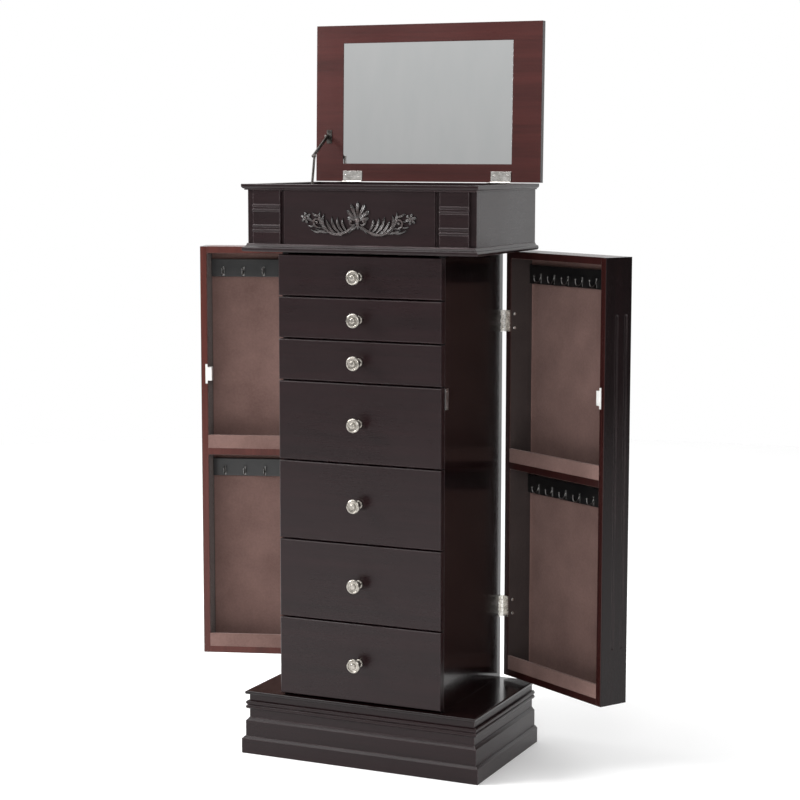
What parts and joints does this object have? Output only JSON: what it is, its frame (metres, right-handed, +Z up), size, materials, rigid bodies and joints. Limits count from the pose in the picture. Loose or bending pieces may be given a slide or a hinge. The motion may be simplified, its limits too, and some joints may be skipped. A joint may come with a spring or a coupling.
{
  "type": "jewelry armoire",
  "caption": "Floor-standing jewelry chest with a column of drawers, swing-out necklace doors on both sides and a top box whose hinged lid holds a mirror.",
  "frame": {"origin": "centre of the plinth's footprint, on the floor", "axes": "+Z up, -Y is the front with the drawer knobs, +X is to the right for someone facing the front"},
  "size_m": [0.8528, 0.3567, 1.2809],
  "materials": {
    "dark_wood": "dark espresso stain under a satin lacquer, fine open grain",
    "red_wood": "reddish brown mahogany stain under a semi-gloss lacquer",
    "inner_wood": "plain stained board inside the carcass and the drawers, matt",
    "lining_suede": "taupe suede-like flocked lining, soft nap",
    "knob_nickel": "brushed nickel plate, satin",
    "hinge_nickel": "bright nickel plate, semi-gloss",
    "steel_plate": "bare rolled steel, satin",
    "stay_steel": "dark bronzed steel, satin",
    "hook_metal": "black enamelled rail and hooks, glossy",
    "catch_plastic": "off-white moulded plastic, matt",
    "mirror_glass": "silvered flat glass"
  },
  "bodies": {
    "cabinet": {"base_frame": "dark_wood", "base_mouldings": "dark_wood", "base_top_plate": "dark_wood", "side_panel_left": "dark_wood", "side_panel_right": "dark_wood", "back_panel": "inner_wood", "drawer_runners": "inner_wood", "box_floor": "dark_wood", "box_walls": "dark_wood", "box_front_panel": "dark_wood", "pilaster_blocks": "dark_wood", "carved_applique": "dark_wood", "box_bottom_moulding": "dark_wood", "box_rim": "dark_wood", "tray_dividers": "lining_suede", "ring_cushion": "lining_suede", "cabinet_hinge_leaves": "hinge_nickel", "catch_strikes": "steel_plate", "stay_anchor": "stay_steel"},
    "lid": {"lid_frame": "red_wood", "lid_mirror": "mirror_glass", "lid_hinge_leaves": "hinge_nickel", "lid_stay_bracket": "stay_steel"},
    "stay_upper": {"stay_upper_link": "stay_steel"},
    "stay_lower": {"stay_lower_link": "stay_steel"},
    "drawer_1": {"drawer_1_front": "dark_wood", "drawer_1_box": "inner_wood", "drawer_1_knob": "knob_nickel"},
    "drawer_2": {"drawer_2_front": "dark_wood", "drawer_2_box": "inner_wood", "drawer_2_knob": "knob_nickel"},
    "drawer_3": {"drawer_3_front": "dark_wood", "drawer_3_box": "inner_wood", "drawer_3_knob": "knob_nickel"},
    "drawer_4": {"drawer_4_front": "dark_wood", "drawer_4_box": "inner_wood", "drawer_4_knob": "knob_nickel"},
    "drawer_5": {"drawer_5_front": "dark_wood", "drawer_5_box": "inner_wood", "drawer_5_knob": "knob_nickel"},
    "drawer_6": {"drawer_6_front": "dark_wood", "drawer_6_box": "inner_wood", "drawer_6_knob": "knob_nickel"},
    "drawer_7": {"drawer_7_front": "dark_wood", "drawer_7_box": "inner_wood", "drawer_7_knob": "knob_nickel"},
    "door_right": {"door_right_outer_panel": "dark_wood", "door_right_front_stile": "red_wood", "door_right_frame": "red_wood", "door_right_lined_pockets": "lining_suede", "door_right_hook_rails": "hook_metal", "door_right_catch": "catch_plastic", "door_right_hinge_leaves": "hinge_nickel"},
    "door_left": {"door_left_outer_panel": "dark_wood", "door_left_front_stile": "red_wood", "door_left_frame": "red_wood", "door_left_lined_pockets": "lining_suede", "door_left_hook_rails": "hook_metal", "door_left_catch": "catch_plastic", "door_left_hinge_leaves": "hinge_nickel"}
  },
  "joints": [
    {"name": "door_right_hinge", "type": "hinge", "parent": "cabinet", "child": "door_right", "pos_m": [0.1536, 0.145, 0.5], "axis": [0, 0, 1], "range_deg": [-59, 51]},
    {"name": "door_left_hinge", "type": "hinge", "parent": "cabinet", "child": "door_left", "pos_m": [-0.1536, 0.145, 0.5], "axis": [0, 0, -1], "range_deg": [-71.5, 38.5]},
    {"name": "lid_hinge", "type": "hinge", "parent": "cabinet", "child": "lid", "pos_m": [0, 0.1435, 1], "axis": [-1, 0, 0], "range_deg": [-91.2, 0]},
    {"name": "stay_upper_pivot", "type": "hinge", "parent": "lid", "child": "stay_upper", "pos_m": [-0.1942, 0.14201, 1.08155], "axis": [-1, 0, 0], "range_deg": [-0.5, 104.5]},
    {"name": "stay_lower_pivot", "type": "hinge", "parent": "cabinet", "child": "stay_lower", "pos_m": [-0.1918, 0.0718, 0.9758], "axis": [-1, 0, 0], "range_deg": [-103.5, 0.5]},
    {"name": "drawer_1_slide", "type": "slide", "parent": "cabinet", "child": "drawer_1", "axis": [0, -1, 0], "range_m": [0, 0.18]},
    {"name": "drawer_2_slide", "type": "slide", "parent": "cabinet", "child": "drawer_2", "axis": [0, -1, 0], "range_m": [0, 0.18]},
    {"name": "drawer_3_slide", "type": "slide", "parent": "cabinet", "child": "drawer_3", "axis": [0, -1, 0], "range_m": [0, 0.18]},
    {"name": "drawer_4_slide", "type": "slide", "parent": "cabinet", "child": "drawer_4", "axis": [0, -1, 0], "range_m": [0, 0.18]},
    {"name": "drawer_5_slide", "type": "slide", "parent": "cabinet", "child": "drawer_5", "axis": [0, -1, 0], "range_m": [0, 0.18]},
    {"name": "drawer_6_slide", "type": "slide", "parent": "cabinet", "child": "drawer_6", "axis": [0, -1, 0], "range_m": [0, 0.18]},
    {"name": "drawer_7_slide", "type": "slide", "parent": "cabinet", "child": "drawer_7", "axis": [0, -1, 0], "range_m": [0, 0.18]}
  ],
  "couplings": [
    {"joint": "stay_upper_pivot", "follows": "lid_hinge", "ratio": -1.1441},
    {"joint": "stay_lower_pivot", "follows": "lid_hinge", "ratio": 1.1337}
  ]
}
